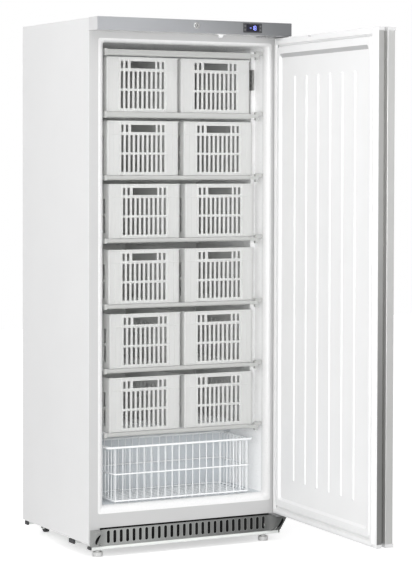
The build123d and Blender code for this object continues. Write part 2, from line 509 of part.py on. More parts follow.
for x in xs:
    rods += [cz(x, YF_IN + R_W, WB_Z0 + 2 * R_W, WB_Z1 - 2, R_W), cz(x, YB_IN - R_W, WB_Z0 + 2 * R_W, WB_Z1 - 2, R_W)]
    rods.append(cy(x, WB_Z0 + R_W, YF_IN, YB_IN, R_W))
for y in ys:
    for s, x, x_rim in ((-1, XL_IN + R_W, WB_X0 + 2 * R_TOP), (1, XR_IN - R_W, WB_X1 - 2 * R_TOP)):
        rods.append(cz(x, y, WB_Z0 + 4 * R_W, Z_RIM - R_W, R_W))
        rods.append(cx(y, Z_RIM, x_rim, x + s * -R_W, R_W) if s < 0 else cx(y, Z_RIM, x - R_W, x_rim, R_W))
    rods.append(cx(y, WB_Z0 + 3 * R_W, XL_IN, XR_IN, R_W))
save("wire_basket", *rods)

# ---------------------------------------------------------------- cooling machine
cxm, cym = -70.0, 200.0
shell = Solid.make_cylinder(88, 110, Plane(origin=(cxm, cym, 72)))
dome = Pos(cxm, cym, 182) * (Sphere(88) & bx(-90, 90, -90, 90, 0, 90))
dome = scale(Sphere(88), by=(1, 1, 0.55)) & bx(-90, 90, -90, 90, 0, 90)
shell = shell + Pos(cxm, cym, 182) * dome
bottom_dome = scale(Sphere(88), by=(1, 1, 0.16)) & bx(-90, 90, -90, 90, -90, 0)
shell = shell + Pos(cxm, cym, 72) * bottom_dome
feet_plate = bx(cxm - 118, cxm + 118, cym - 78, cym + 78, 62, 65)
shell = shell + feet_plate + bx(cxm - 60, cxm + 60, cym - 60, cym + 60, 60, 72)
mounts = []
for sx in (-1, 1):
    for sy in (-1, 1):
        x, y = cxm + sx * 104, cym + sy * 64
        shell = shell - cz(x, y, 55, 70, 6.0)
        m = cz(x, y, 48, 62, 12) + cz(x, y, 62, 65, 5.8) + cz(x, y, 65, 68, 9)
        mounts.append(m)
save("compressor", shell)
save("compressor_mounts", *mounts)
box = bx(cxm + 88.2, cxm + 128, cym - 30, cym + 30, 95, 165)
box = fillet(edges_along(box, Axis.Z, lambda c: c.X > cxm + 120), 6)
gland = cy(cxm + 108, 110, cym + 30, cym + 44, 7)
save("terminal_box", box + gland)
dryer = cz(150, 240, 150, 260, 11) + cz(150, 240, 260, 268, 6) + cz(150, 240, 142, 150, 6)
save("filter_dryer", dryer)

# condenser on the back: serpentine with upright wires
pts = []
zs = [430.0 + 58.0 * i for i in range(24)]
for i, z in enumerate(zs):
    a = (-335.0, 335.0) if i % 2 == 0 else (335.0, -335.0)
    pts += [(a[0], 348.0, z), (a[1], 348.0, z)]
coil = tube(pts, 28.9, 3.0)
cwires = [cz(-300 + 54.5 * i, 352.1, 422, 1772, 1.1) for i in range(12)]
brackets = []
for x in (-220, 220):
    for z in (520, 1680):
        brackets.append(bx(x - 8, x + 8, Y_BACK, 344.9, z - 16, z + 16))
save("condenser_coil", coil, *cwires, *brackets)

pipes = [
    tube([(cxm - 60, cym + 80, 120), (cxm - 60, cym + 124, 120), (cxm - 60, cym + 124, 300), (-335.0, cym + 124, 300), (-335.0, 348.0, 300), (-335.0, 348.0, 400)], 14, 3.0),
    tube([(cxm + 20, cym + 88.5, 150), (cxm + 20, cym + 115, 150), (cxm + 20, cym + 115, 320), (240, cym + 115, 320), (240, cym + 30, 320), (240, cym + 30, 354.5)], 12, 4.0),
]
save("refrigerant_pipes", *pipes)
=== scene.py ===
import bpy
import bmesh
import json
import math
from mathutils import Matrix, Vector


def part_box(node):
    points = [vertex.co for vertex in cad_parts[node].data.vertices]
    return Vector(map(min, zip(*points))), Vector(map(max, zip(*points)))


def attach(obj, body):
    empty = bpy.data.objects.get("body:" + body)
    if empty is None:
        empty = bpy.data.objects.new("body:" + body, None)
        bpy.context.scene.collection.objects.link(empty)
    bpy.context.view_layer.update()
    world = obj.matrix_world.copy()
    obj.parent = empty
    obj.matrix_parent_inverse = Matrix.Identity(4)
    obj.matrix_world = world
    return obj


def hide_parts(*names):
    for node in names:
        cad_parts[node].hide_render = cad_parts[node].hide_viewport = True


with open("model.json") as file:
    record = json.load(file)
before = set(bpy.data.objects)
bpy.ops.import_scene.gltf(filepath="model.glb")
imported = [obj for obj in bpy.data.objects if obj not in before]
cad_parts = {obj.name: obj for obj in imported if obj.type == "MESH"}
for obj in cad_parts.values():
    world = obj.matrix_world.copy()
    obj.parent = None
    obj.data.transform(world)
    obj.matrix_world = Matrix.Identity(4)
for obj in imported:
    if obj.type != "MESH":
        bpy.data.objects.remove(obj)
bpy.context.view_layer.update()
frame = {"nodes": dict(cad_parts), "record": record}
NODES = frame["nodes"]
scene = bpy.context.scene
MM = 0.001

# the door's pieces are drawn closed and turned about the hinge to where the door stands
PIVOT = Vector((0.370, -0.283, 0.0))
DOOR_TURN = math.radians(86.3)
HINGED = Matrix.Translation(PIVOT) @ Matrix.Rotation(DOOR_TURN, 4, "Z") @ Matrix.Translation(-PIVOT)

# ------------------------------------------------------------------ camera
W_PX, H_PX, F_PX = 412.0, 567.0, 2056.5
PP_X, PP_Y = 205.94, 223.02
YAW, PITCH, ROLL = 0.48927, 0.02958, 0.00251
cam_data = bpy.data.cameras.new("camera")
cam = bpy.data.objects.new("camera", cam_data)
scene.collection.objects.link(cam)
look = Vector((math.sin(YAW) * math.cos(PITCH), math.cos(YAW) * math.cos(PITCH), -math.sin(PITCH)))
right = Vector((math.cos(YAW), -math.sin(YAW), 0.0))
up = right.cross(look)
right2 = math.cos(ROLL) * right + math.sin(ROLL) * up
up2 = -math.sin(ROLL) * right + math.cos(ROLL) * up
m = Matrix.Identity(4)
for i in range(3):
    m[i][0], m[i][1], m[i][2] = right2[i], up2[i], -look[i]
cam.matrix_world = Matrix.Translation(Vector((-3.39782, -6.78230, 1.39265))) @ m
cam_data.sensor_fit = "AUTO"
cam_data.sensor_width = 36.0
cam_data.lens = 36.0 * F_PX / H_PX
cam_data.shift_x = -(PP_X - W_PX / 2) / H_PX
cam_data.shift_y = (PP_Y - H_PX / 2) / H_PX
cam_data.clip_start, cam_data.clip_end = 0.1, 60.0
scene.camera = cam

# ------------------------------------------------------------------ light
scene.view_settings.view_transform = "Standard"
scene.view_settings.look = "None"
scene.view_settings.exposure = 0.0
scene.view_settings.gamma = 1.0
scene.cycles.use_denoising = True
scene.cycles.max_bounces = 12
scene.cycles.diffuse_bounces = 9
scene.cycles.glossy_bounces = 4

world = bpy.data.worlds.new("studio")
scene.world = world
world.use_nodes = True
wn = world.node_tree
wn.nodes.clear()
out = wn.nodes.new("ShaderNodeOutputWorld")
mix = wn.nodes.new("ShaderNodeMixShader")
path = wn.nodes.new("ShaderNodeLightPath")
seen = wn.nodes.new("ShaderNodeBackground")
seen.inputs["Color"].default_value = (1, 1, 1, 1)
seen.inputs["Strength"].default_value = 1.0
lit = wn.nodes.new("ShaderNodeBackground")
coord = wn.nodes.new("ShaderNodeTexCoord")
sep = wn.nodes.new("ShaderNodeSeparateXYZ")
ramp = wn.nodes.new("ShaderNodeMapRange")
ramp.inputs["From Min"].default_value = -1.0
ramp.inputs["From Max"].default_value = 1.0
ramp.inputs["To Min"].default_value = 1.10
ramp.inputs["To Max"].default_value = 0.42
wn.links.new(coord.outputs["Generated"], sep.inputs["Vector"])
wn.links.new(sep.outputs["X"], ramp.inputs["Value"])
wn.links.new(ramp.outputs["Result"], lit.inputs["Strength"])
wn.links.new(path.outputs["Is Camera Ray"], mix.inputs["Fac"])
wn.links.new(lit.outputs["Background"], mix.inputs[1])
wn.links.new(seen.outputs["Background"], mix.inputs[2])
wn.links.new(mix.outputs["Shader"], out.inputs["Surface"])


def softbox(name, loc, target, size, size_y, power, color=(1, 1, 1)):
    data = bpy.data.lights.new(name, "AREA")
    data.shape = "RECTANGLE"
    data.size, data.size_y = size, size_y
    data.energy = power
    data.color = color
    ob = bpy.data.objects.new(name, data)
    scene.collection.objects.link(ob)
    ob.location = loc
    ob.rotation_mode = "QUATERNION"
    ob.rotation_quaternion = (Vector(target) - Vector(loc)).to_track_quat("-Z", "Y")
    return ob


softbox("top_softbox", (-1.0, -2.6, 4.4), (0.0, -0.2, 0.6), 3.0, 3.0, 60.0)
softbox("left_softbox", (-4.1, -5.3, 1.35), (0.15, -0.2, 0.75), 2.6, 3.0, 175.0)
softbox("front_softbox", (-3.0, -6.9, 1.2), (0.0, -0.2, 0.75), 2.2, 2.2, 118.0)

# ------------------------------------------------------------------ floor
bm = bmesh.new()
bmesh.ops.create_grid(bm, x_segments=8, y_segments=8, size=9.0)
fl_me = bpy.data.meshes.new("floor")
bm.to_mesh(fl_me)
bm.free()
floor = bpy.data.objects.new("floor", fl_me)
scene.collection.objects.link(floor)


# ------------------------------------------------------------------ materials
def new_material(name):
    mat = bpy.data.materials.new(name)
    mat.use_nodes = True
    nt = mat.node_tree
    nt.nodes.clear()
    o = nt.nodes.new("ShaderNodeOutputMaterial")
    b = nt.nodes.new("ShaderNodeBsdfPrincipled")
    nt.links.new(b.outputs["BSDF"], o.inputs["Surface"])
    return mat, nt, b


def object_coords(nt, stretch=(1, 1, 1)):
    c = nt.nodes.new("ShaderNodeTexCoord")
    mp = nt.nodes.new("ShaderNodeMapping")
    mp.inputs["Scale"].default_value = stretch
    nt.links.new(c.outputs["Object"], mp.inputs["Vector"])
    return mp.outputs["Vector"]


def noise(nt, vec, scale, detail=3.0, rough=0.5):
    n = nt.nodes.new("ShaderNodeTexNoise")
    n.inputs["Scale"].default_value = scale
    n.inputs["Detail"].default_value = detail
    n.inputs["Roughness"].default_value = rough
    nt.links.new(vec, n.inputs["Vector"])
    return n.outputs["Fac"]


def spread(nt, fac, lo, hi, f0=0.3, f1=0.7):
    r = nt.nodes.new("ShaderNodeMapRange")
    r.inputs["From Min"].default_value = f0
    r.inputs["From Max"].default_value = f1
    r.inputs["To Min"].default_value = lo
    r.inputs["To Max"].default_value = hi
    nt.links.new(fac, r.inputs["Value"])
    return r.outputs["Result"]


def two_tone(nt, fac, a, b):
    mx = nt.nodes.new("ShaderNodeMix")
    mx.data_type = "RGBA"
    mx.inputs["A"].default_value = (*a, 1)
    mx.inputs["B"].default_value = (*b, 1)
    nt.links.new(fac, mx.inputs["Factor"])
    return mx.outputs["Result"]


def bump(nt, b, height, strength, distance):
    bp = nt.nodes.new("ShaderNodeBump")
    bp.inputs["Strength"].default_value = strength
    bp.inputs["Distance"].default_value = distance
    nt.links.new(height, bp.inputs["Height"])
    nt.links.new(bp.outputs["Normal"], b.inputs["Normal"])


def shaded(c, k):
    return tuple(min(1.0, v * k) for v in c)


def coated(name, color, rough, grain=900.0, depth=0.00006, strength=0.25, vary=0.015, rough_vary=0.05, metallic=0.0,
           stretch=(1, 1, 1), blotch=6.0, coat=0.0, sheen=0.0, through=0.0):
    """A finish with a fine grain in its bump, a broad faint tone change and uneven gloss."""
    mat, nt, b = new_material(name)
    vec = object_coords(nt)
    broad = spread(nt, noise(nt, vec, blotch, 2.0), 0.0, 1.0)
    col = two_tone(nt, broad, shaded(color, 1.0 - vary), shaded(color, 1.0 + vary))
    nt.links.new(col, b.inputs["Base Color"])
    fine_vec = object_coords(nt, stretch)
    fine = noise(nt, fine_vec, grain, 2.0)
    nt.links.new(spread(nt, fine, rough - rough_vary, rough + rough_vary), b.inputs["Roughness"])
    b.inputs["Metallic"].default_value = metallic
    if coat:
        b.inputs["Coat Weight"].default_value = coat
        b.inputs["Coat Roughness"].default_value = 0.15
    if sheen:
        b.inputs["Sheen Weight"].default_value = sheen
    bump(nt, b, fine, strength, depth)
    if through:
        # thin moulded walls let some light through
        t = nt.nodes.new("ShaderNodeBsdfTranslucent")
        nt.links.new(col, t.inputs["Color"])
        mx = nt.nodes.new("ShaderNodeMixShader")
        mx.inputs["Fac"].default_value = through
        nt.links.new(b.outputs["BSDF"], mx.inputs[1])
        nt.links.new(t.outputs["BSDF"], mx.inputs[2])
        o = next(n for n in nt.nodes if n.type == "OUTPUT_MATERIAL")
        nt.links.new(mx.outputs["Shader"], o.inputs["Surface"])
    return mat


MAT = {
    "white_steel": coated("white_steel", (0.765, 0.765, 0.767), 0.38, 520.0, 0.00008, 0.20, 0.008),
    # the front frame's white paint is set far darker than the side panels': partly a slightly greyer paint, mostly
    # painted shade on the front face
    "frame_white": coated("frame_white", (0.495, 0.495, 0.495), 0.38, 520.0, 0.00008, 0.20, 0.008),
    "white_plastic": coated("white_plastic", (0.86, 0.86, 0.86), 0.30, 260.0, 0.00006, 0.12, 0.006),
    "door_plastic": coated("door_plastic", (0.79, 0.79, 0.792), 0.34, 260.0, 0.00006, 0.12, 0.006),
    "basket_plastic": coated("basket_plastic", (0.848, 0.851, 0.843), 0.42, 700.0, 0.00007, 0.25, 0.012, through=0.50),
    # the shelf trims' white plastic set darker: painted shade for their shadowed undersides
    "trim_painted_shade_plastic": coated("trim_painted_shade_plastic", (0.425, 0.43, 0.42), 0.34, 260.0, 0.00006, 0.12, 0.006),
    "liner_plastic": coated("liner_plastic", (0.96, 0.96, 0.96), 0.30, 260.0, 0.00006, 0.12, 0.006),
    "housing_plastic": coated("housing_plastic", (0.66, 0.66, 0.665), 0.36, 260.0, 0.00006, 0.12, 0.006),
    "cap_plastic": coated("cap_plastic", (0.62, 0.62, 0.622), 0.36, 260.0, 0.00006, 0.12, 0.006),
    "door_white": coated("door_white", (0.58, 0.58, 0.582), 0.38, 520.0, 0.00008, 0.20, 0.008),
    "probe_grey": coated("probe_grey", (0.24, 0.24, 0.235), 0.5, 300.0, 0.0002, 0.4, 0.35, blotch=90.0),
    # painted shade for the liner's floor and step wall
    "liner_floor_painted_shade": coated("liner_floor_painted_shade", (0.62, 0.65, 0.675), 0.30, 260.0, 0.00006, 0.12, 0.006),
    # painted shadow for the groove by the door gasket
    "groove_painted_shadow": coated("groove_painted_shadow", (0.10, 0.10, 0.10), 0.6, 300.0, 0.0001, 0.3, 0.1),
    # painted shade for the down-facing slope of the door liner
    "door_slope_painted_shade": coated("door_slope_painted_shade", (0.46, 0.46, 0.465), 0.34, 260.0, 0.00006, 0.12, 0.006),
    "collar_plastic": coated("collar_plastic", (0.74, 0.74, 0.74), 0.30, 260.0, 0.00006, 0.12, 0.006),
    "shadow_black": coated("shadow_black", (0.012, 0.012, 0.012), 0.9, 500.0, 0.0002, 0.5, 0.3),
    "silver_fascia": coated("silver_fascia", (0.50, 0.51, 0.53), 0.36, 160.0, 0.00005, 0.10, 0.02, 0.06, 0.75, (0.25, 6, 6)),
    "anodised_aluminium": coated("anodised_aluminium", (0.66, 0.66, 0.65), 0.38, 160.0, 0.00005, 0.12, 0.03, 0.08, 0.55, (6, 6, 0.15)),
    "grille_grey": coated("grille_grey", (0.20, 0.205, 0.20), 0.50, 620.0, 0.0001, 0.35, 0.05),
    # a lighter copy of the grille grey: painted highlight for the slot rims
    "grille_rim_painted_highlight": coated("grille_rim_painted_highlight", (0.34, 0.35, 0.34), 0.42, 620.0, 0.0001, 0.30, 0.03),
    "light_grey_plastic": coated("light_grey_plastic", (0.60, 0.60, 0.595), 0.40, 620.0, 0.0001, 0.30, 0.03),
    "base_steel": coated("base_steel", (0.74, 0.76, 0.74), 0.42, 420.0, 0.0001, 0.30, 0.03),
    "zinc_steel": coated("zinc_steel", (0.42, 0.42, 0.43), 0.42, 90.0, 0.00006, 0.25, 0.18, 0.10, 0.9, blotch=60.0),
    "white_wire": coated("white_wire", (0.80, 0.815, 0.825), 0.30, 900.0, 0.00004, 0.15, 0.01),
    "black_enamel": coated("black_enamel", (0.025, 0.025, 0.028), 0.32, 700.0, 0.00006, 0.25, 0.15),
    "copper": coated("copper", (0.72, 0.36, 0.22), 0.30, 120.0, 0.00005, 0.2, 0.18, 0.12, 1.0, blotch=40.0),
    "dark_plastic": coated("dark_plastic", (0.045, 0.045, 0.048), 0.48, 700.0, 0.0001, 0.35, 0.1),
    "key_plastic": coated("key_plastic", (0.14, 0.14, 0.15), 0.45, 900.0, 0.00005, 0.3, 0.05),
    "display_glass": coated("display_glass", (0.006, 0.006, 0.016), 0.10, 200.0, 0.00001, 0.02, 0.05, 0.03, coat=0.5),
    "bright_metal": coated("bright_metal", (0.80, 0.80, 0.80), 0.22, 300.0, 0.00003, 0.15, 0.03, 0.08, 1.0),
    "foam": coated("foam", (0.82, 0.74, 0.50), 0.85, 300.0, 0.0008, 0.6, 0.08),
    "gasket_rubber": coated("gasket_rubber", (0.80, 0.80, 0.80), 0.55, 420.0, 0.0001, 0.3, 0.02),
    "black_rubber": coated("black_rubber", (0.02, 0.02, 0.02), 0.65, 520.0, 0.0002, 0.4, 0.15),
    "bush_plastic": coated("bush_plastic", (0.70, 0.70, 0.70), 0.45, 420.0, 0.0001, 0.3, 0.03),
}
fl_mat = coated("studio_floor", (0.90, 0.90, 0.90), 0.85, 40.0, 0.0002, 0.1, 0.004)
fnt = fl_mat.node_tree
fl_bsdf = next(n for n in fnt.nodes if n.type == "BSDF_PRINCIPLED")
fl_bsdf.inputs["Specular IOR Level"].default_value = 0.1
fl_bsdf.inputs["Emission Color"].default_value = (1, 1, 1, 1)
fl_bsdf.inputs["Emission Strength"].default_value = 0.55
dull = fnt.nodes.new("ShaderNodeBsdfDiffuse")
dull.inputs["Color"].default_value = (0.71, 0.71, 0.71, 1)
fpath = fnt.nodes.new("ShaderNodeLightPath")
fmix = fnt.nodes.new("ShaderNodeMixShader")
fnt.links.new(fpath.outputs["Is Camera Ray"], fmix.inputs["Fac"])
fnt.links.new(dull.outputs["BSDF"], fmix.inputs[1])
fnt.links.new(fl_bsdf.outputs["BSDF"], fmix.inputs[2])
fnt.links.new(fmix.outputs["Shader"], next(n for n in fnt.nodes if n.type == "OUTPUT_MATERIAL").inputs["Surface"])
floor.data.materials.append(fl_mat)


# ------------------------------------------------------------------ CAD nodes: finish, soft edges
def smooth_by_angle(me, degrees):
    me.polygons.foreach_set("use_smooth", [True] * len(me.polygons))
    me.set_sharp_from_angle(angle=math.radians(degrees))


def paint_light_ramp(mat, axis, p0, p1, k0, k1):
    """Paints light and shade into a finish: scales its colour up or down smoothly along one axis of the object."""
    nt_ = mat.node_tree
    b__ = next(n for n in nt_.nodes if n.type == "BSDF_PRINCIPLED")
    src = b__.inputs["Base Color"].links[0].from_socket
    c = nt_.nodes.new("ShaderNodeTexCoord")
    sp = nt_.nodes.new("ShaderNodeSeparateXYZ")
    nt_.links.new(c.outputs["Object"], sp.inputs["Vector"])
    r = nt_.nodes.new("ShaderNodeMapRange")
    r.interpolation_type = "SMOOTHSTEP"
    r.inputs["From Min"].default_value, r.inputs["From Max"].default_value = p0, p1
    r.inputs["To Min"].default_value, r.inputs["To Max"].default_value = k0, k1
    nt_.links.new(sp.outputs[axis], r.inputs["Value"])
    mul = nt_.nodes.new("ShaderNodeVectorMath")
    mul.operation = "SCALE"
    nt_.links.new(src, mul.inputs[0])
    nt_.links.new(r.outputs["Result"], mul.inputs["Scale"])
    nt_.links.new(mul.outputs["Vector"], b__.inputs["Base Color"])


next(n for n in MAT["shadow_black"].node_tree.nodes if n.type == "BSDF_PRINCIPLED").inputs["Specular IOR Level"].default_value = 0.0
# painted reflection: the silver fascia is painted lighter at its left end and darker towards the right
paint_light_ramp(MAT["silver_fascia"], "X", -0.34, 0.40, 1.18, 0.56)
# painted light: the kick grille and its slot rims are painted lighter at the left end and darker towards the right
paint_light_ramp(MAT["grille_grey"], "X", -0.37, 0.36, 1.42, 0.50)
paint_light_ramp(MAT["grille_rim_painted_highlight"], "X", -0.37, 0.36, 1.15, 0.62)
# painted shade: the collar's right-hand flange is painted darker
paint_light_ramp(MAT["collar_plastic"], "X", 0.31, 0.34, 1.0, 0.84)

SLOT_OF = {s["node"]: s["material_slot"] for s in frame["record"]["subparts"]}
FINISH = dict(SLOT_OF)
FINISH["door_liner"] = "door_plastic"
FINISH["inner_liner"] = "liner_plastic"
FINISH["control_housing"] = "housing_plastic"
FINISH["probe_cover"] = "probe_grey"
FINISH["door_skin"] = "door_white"
FINISH["door_end_caps"] = "cap_plastic"
FINISH["mouth_collar"] = "collar_plastic"
# the trims take the darker white plastic: painted shade
FINISH["shelf_trim_strips"] = "trim_painted_shade_plastic"
# painted reflection and shade on the grip profile: the outer band is painted darker low down; its finger groove and
# inner band get darker copies of the aluminium, deepest low down
MAT["groove_floor_painted_shade"] = coated("groove_floor_painted_shade", (0.30, 0.30, 0.29), 0.45, 160.0, 0.00005, 0.12, 0.03, 0.08, 0.4, (6, 6, 0.15))
MAT["profile_band_painted_shade"] = coated("profile_band_painted_shade", (0.52, 0.52, 0.51), 0.40, 160.0, 0.00005, 0.12, 0.03, 0.08, 0.55, (6, 6, 0.15))
paint_light_ramp(MAT["anodised_aluminium"], "Z", 0.15, 1.80, 0.82, 1.0)
paint_light_ramp(MAT["profile_band_painted_shade"], "Z", 0.30, 1.60, 0.42, 0.95)
paint_light_ramp(MAT["groove_floor_painted_shade"], "Z", 0.30, 1.60, 0.45, 1.0)

for n, ob in NODES.items():
    ob.data.materials.clear()
    ob.data.materials.append(MAT[FINISH[n]])
    smooth_by_angle(ob.data, 32)


# painted shade: the step wall and floor of the liner, and the down-facing slope under the door's raised frame, take
# darker copies of their white plastics
il_ob = NODES["inner_liner"]
il_ob.data.materials.append(MAT["liner_floor_painted_shade"])
for poly in il_ob.data.polygons:
    if poly.center.z < 0.409 and abs(poly.normal.x) < 0.5:
        poly.material_index = 1
dl_ob = NODES["door_liner"]
dl_ob.data.materials.append(MAT["door_slope_painted_shade"])
for poly in dl_ob.data.polygons:
    if poly.normal.z < -0.35 and 1.760 < poly.center.z < 1.80:
        poly.material_index = 1

# painted shade: the inner band and the groove's web take the darker copies of the aluminium
hp_ob = NODES["handle_profile"]
hp_ob.data.materials.append(MAT["profile_band_painted_shade"])
hp_ob.data.materials.append(MAT["groove_floor_painted_shade"])
for poly in hp_ob.data.polygons:
    c = poly.center
    if c.x < 0.3274:
        poly.material_index = 1
    elif c.x < 0.3412 and c.y > -1.0225 and abs(poly.normal.x) < 0.5:
        poly.material_index = 2


def soften(node, width, segments=2, angle=32):
    ob = NODES[node]
    w = ob.modifiers.new("weld", "WELD")
    w.merge_threshold = 0.00002
    b = ob.modifiers.new("bevel", "BEVEL")
    b.width = width * MM
    b.segments = segments
    b.limit_method = "ANGLE"
    b.angle_limit = math.radians(angle)
    b.harden_normals = False



# ------------------------------------------------------------------ mesh helpers
def finished(name, bm, body, mat, smooth=30, replaces=()):
    """Turns a bmesh in millimetres into a piece that rides on a body."""
    bmesh.ops.remove_doubles(bm, verts=bm.verts, dist=0.002)
    bmesh.ops.recalc_face_normals(bm, faces=bm.faces)
    bmesh.ops.scale(bm, vec=(MM, MM, MM), verts=bm.verts)
    me = bpy.data.meshes.new(name)
    bm.to_mesh(me)
    bm.free()
    me.materials.append(MAT[mat])
    smooth_by_angle(me, smooth)
    ob = bpy.data.objects.new(name, me)
    scene.collection.objects.link(ob)
    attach(ob, body)
    if replaces:
        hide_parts(*replaces)
    return ob


def plate(bm, at, u, v, us, vs, holes, depth):
    """A flat plate in the plane of u and v with rectangular holes, as one closed shell.
    at: a corner; u, v: unit axes; us, vs: extents; holes: (u0, u1, v0, v1); depth: thickness vector."""
    cu = sorted({round(c, 4) for c in us} | {round(c, 4) for h in holes for c in h[:2] if us[0] < c < us[-1]})
    cv = sorted({round(c, 4) for c in vs} | {round(c, 4) for h in holes for c in h[2:] if vs[0] < c < vs[-1]})
    at, u, v, depth = Vector(at), Vector(u), Vector(v), Vector(depth)
    solid = {}
    for i in range(len(cu) - 1):
        for j in range(len(cv) - 1):
            mu, mv = (cu[i] + cu[i + 1]) / 2, (cv[j] + cv[j + 1]) / 2
            solid[i, j] = not any(h[0] < mu < h[1] and h[2] < mv < h[3] for h in holes)
    verts = {}

    def vert(i, j, k):
        if (i, j, k) not in verts:
            verts[i, j, k] = bm.verts.new(at + u * cu[i] + v * cv[j] + depth * k)
        return verts[i, j, k]

    for (i, j), full in solid.items():
        if not full:
            continue
        bm.faces.new((vert(i, j, 0), vert(i + 1, j, 0), vert(i + 1, j + 1, 0), vert(i, j + 1, 0)))
        bm.faces.new((vert(i, j, 1), vert(i, j + 1, 1), vert(i + 1, j + 1, 1), vert(i + 1, j, 1)))
        for di, dj, p, q in ((-1, 0, (i, j), (i, j + 1)), (1, 0, (i + 1, j), (i + 1, j + 1)),
                             (0, -1, (i, j), (i + 1, j)), (0, 1, (i, j + 1), (i + 1, j + 1))):
            if not solid.get((i + di, j + dj), False):
                bm.faces.new((vert(*p, 0), vert(*q, 0), vert(*q, 1), vert(*p, 1)))


def rounded_bar(bm, lo, hi, r=0.6):
    """A bar with its edges taken off."""
    made = bmesh.ops.create_cube(bm, size=1.0)["verts"]
    lo, hi = Vector(lo), Vector(hi)
    for w in made:
        w.co = Vector([lo[k] + (w.co[k] + 0.5) * (hi[k] - lo[k]) for k in range(3)])
    edges = list({e for w in made for e in w.link_edges})
    bmesh.ops.bevel(bm, geom=edges, offset=r, offset_type="OFFSET", segments=2, profile=0.5, affect="EDGES", clamp_overlap=True)


def column(bm, profile, z0, z1):
    """An upright closed shell over a plan outline."""
    lo = [bm.verts.new((x, y, z0)) for x, y in profile]
    hi = [bm.verts.new((x, y, z1)) for x, y in profile]
    n = len(profile)
    for k in range(n):
        bm.faces.new((lo[k], lo[(k + 1) % n], hi[(k + 1) % n], hi[k]))
    bm.faces.new(lo[::-1])
    bm.faces.new(hi)


def wire(bm, points, r, bend=8.0, sides=10, closed=False):
    """A round wire through points, with bent corners."""
    pts = [Vector(q) for q in points]
    line = []
    n = len(pts)
    for k in range(n):
        p = pts[k]
        if not closed and k in (0, n - 1):
            line.append(p)
            continue
        a, b = pts[(k - 1) % n], pts[(k + 1) % n]
        da, db = (a - p), (b - p)
        la, lb = da.length, db.length
        da.normalize()
        db.normalize()
        turn = math.pi - da.angle(db)
        if turn < 0.05:
            line.append(p)
            continue
        cut = min(bend * math.tan(turn / 2), 0.49 * la, 0.49 * lb)
        radius = cut / math.tan(turn / 2)
        mid = (da + db).normalized()
        centre = p + mid * (radius / math.cos(turn / 2))
        s0, s1 = p + da * cut - centre, p + db * cut - centre
        steps = max(3, int(turn / 0.3))
        for q in range(steps + 1):
            f = q / steps
            w = s0 * (math.sin((1 - f) * turn) / math.sin(turn)) + s1 * (math.sin(f * turn) / math.sin(turn))
            line.append(centre + w)
    rings = []
    m_ = len(line)
    ref = None
    for k in range(m_):
        if closed:
            t = (line[(k + 1) % m_] - line[(k - 1) % m_]).normalized()
        else:
            t = (line[min(k + 1, m_ - 1)] - line[max(k - 1, 0)]).normalized()
        if ref is None:
            ref = t.orthogonal().normalized()
        ref = (ref - t * ref.dot(t)).normalized()
        side = t.cross(ref)
        rings.append([bm.verts.new(line[k] + (ref * math.cos(2 * math.pi * q / sides) + side * math.sin(2 * math.pi * q / sides)) * r)
                      for q in range(sides)])
    last = m_ if closed else m_ - 1
    for k in range(last):
        A, B = rings[k], rings[(k + 1) % m_]
        shift = 0
        if closed and k == m_ - 1:
            shift = min(range(sides), key=lambda q: (A[0].co - B[q].co).length)
        for q in range(sides):
            bm.faces.new((A[q], A[(q + 1) % sides], B[(q + 1 + shift) % sides], B[(q + shift) % sides]))
    if not closed:
        bm.faces.new(rings[0][::-1])
        bm.faces.new(rings[-1])


# ------------------------------------------------------------------ underside and kick grille
bp_ob = NODES["back_panel"]
bp_ob.data.materials.append(MAT["shadow_black"])
for poly in bp_ob.data.polygons:
    c = poly.center
    if c.z < 0.1075 or (c.y < 0.0696 and c.z < 0.36):
        poly.material_index = 1
ff_ob = NODES["front_frame"]
ff_ob.data.materials.append(MAT["shadow_black"])
for poly in ff_ob.data.polygons:
    if poly.normal.y > 0.9 and poly.center.z < 0.12:
        poly.material_index = 1


kg_ob = NODES["kick_grille"]
kg_ob.data.materials.append(MAT["shadow_black"])
for poly in kg_ob.data.polygons:
    # the walls of the slots and the grille's inside
    c = poly.center
    if abs(c.x) < 320 * MM and (c.y > -0.2625 or (-0.2644 < c.y < -0.2621 and 0.0505 < c.z < 0.0975)):
        poly.material_index = 1


def y_slant(z):
    return -322.5 + (100.5 - z) * (322.5 - 275.0) / (100.5 - 47.0)


GRILLE_Y = -264.5
bm = bmesh.new()
# painted shade: a thin black sheet lies behind the slots and behind the half-moon holes of the end pods, standing in
# for the shade in the cavity
rounded_bar(bm, (-318.5, -261.7, 46.0), (318.5, -260.9, 100.0), 0.2)
rounded_bar(bm, (-343.0, -256.8, 96.0), (343.0, -256.2, 105.7), 0.2)
for s_ in (-1, 1):
    quad = [(s_ * 363.7, 48.0), (s_ * 378.3, 48.0), (s_ * 378.3, 97.5), (s_ * 363.7, 97.5)]
    A_ = [bm.verts.new((x, y_slant(z) + 3.3, z)) for x, z in quad]
    B_ = [bm.verts.new((x, y_slant(z) + 3.9, z)) for x, z in quad]
    bm.faces.new(A_)
    bm.faces.new(B_[::-1])
    for q in range(4):
        bm.faces.new((A_[q], B_[q], B_[(q + 1) % 4], A_[(q + 1) % 4]))
finished("grille_shade_sheet", bm, "cabinet", "shadow_black", 30)

